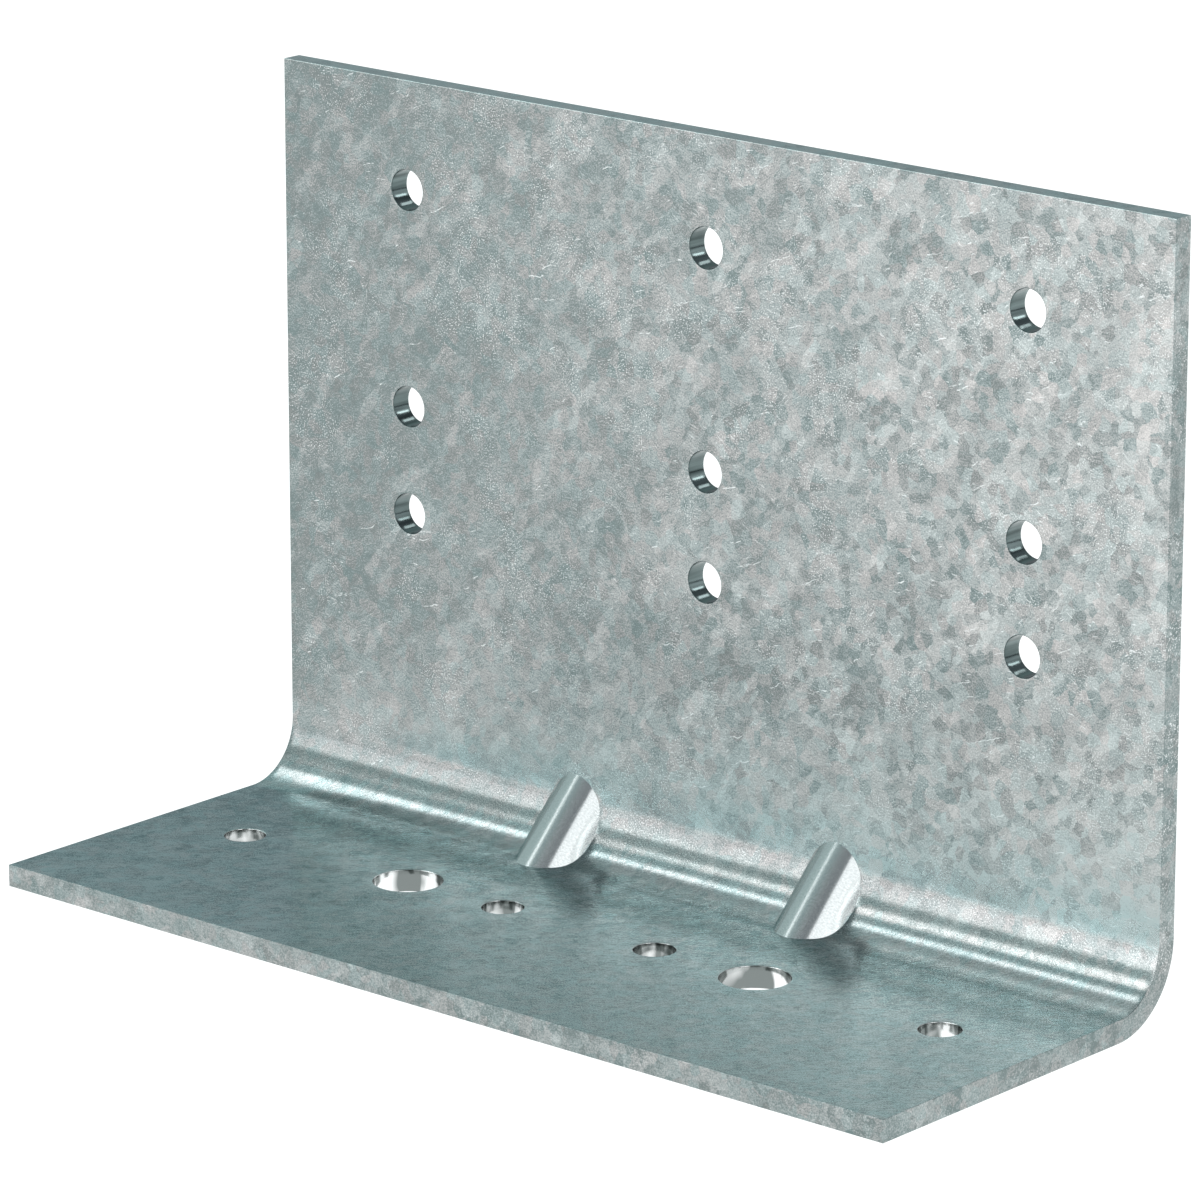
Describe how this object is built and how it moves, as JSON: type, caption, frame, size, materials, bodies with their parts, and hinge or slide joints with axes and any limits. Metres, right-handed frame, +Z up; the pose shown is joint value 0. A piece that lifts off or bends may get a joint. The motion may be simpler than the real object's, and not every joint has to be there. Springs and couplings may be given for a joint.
{
  "type": "bypass framing connector",
  "caption": "Galvanised steel angle with a short foot and a taller upright, punched for anchors and screws, stiffened by pressed gussets across the fold; ties a steel stud to a floor edge.",
  "frame": {"origin": "middle of the bottom of the part's box, on the plane of the foot's underside", "axes": "+X along the fold, +Y out of the upright's outer face, away from the foot, +Z up the upright"},
  "size_m": [0.127, 0.0494, 0.0884],
  "materials": {
    "galvanised_steel": "hot-dip galvanised sheet with a fine spangle"
  },
  "bodies": {
    "root": {"connector_angle": "galvanised_steel"}
  },
  "joints": []
}
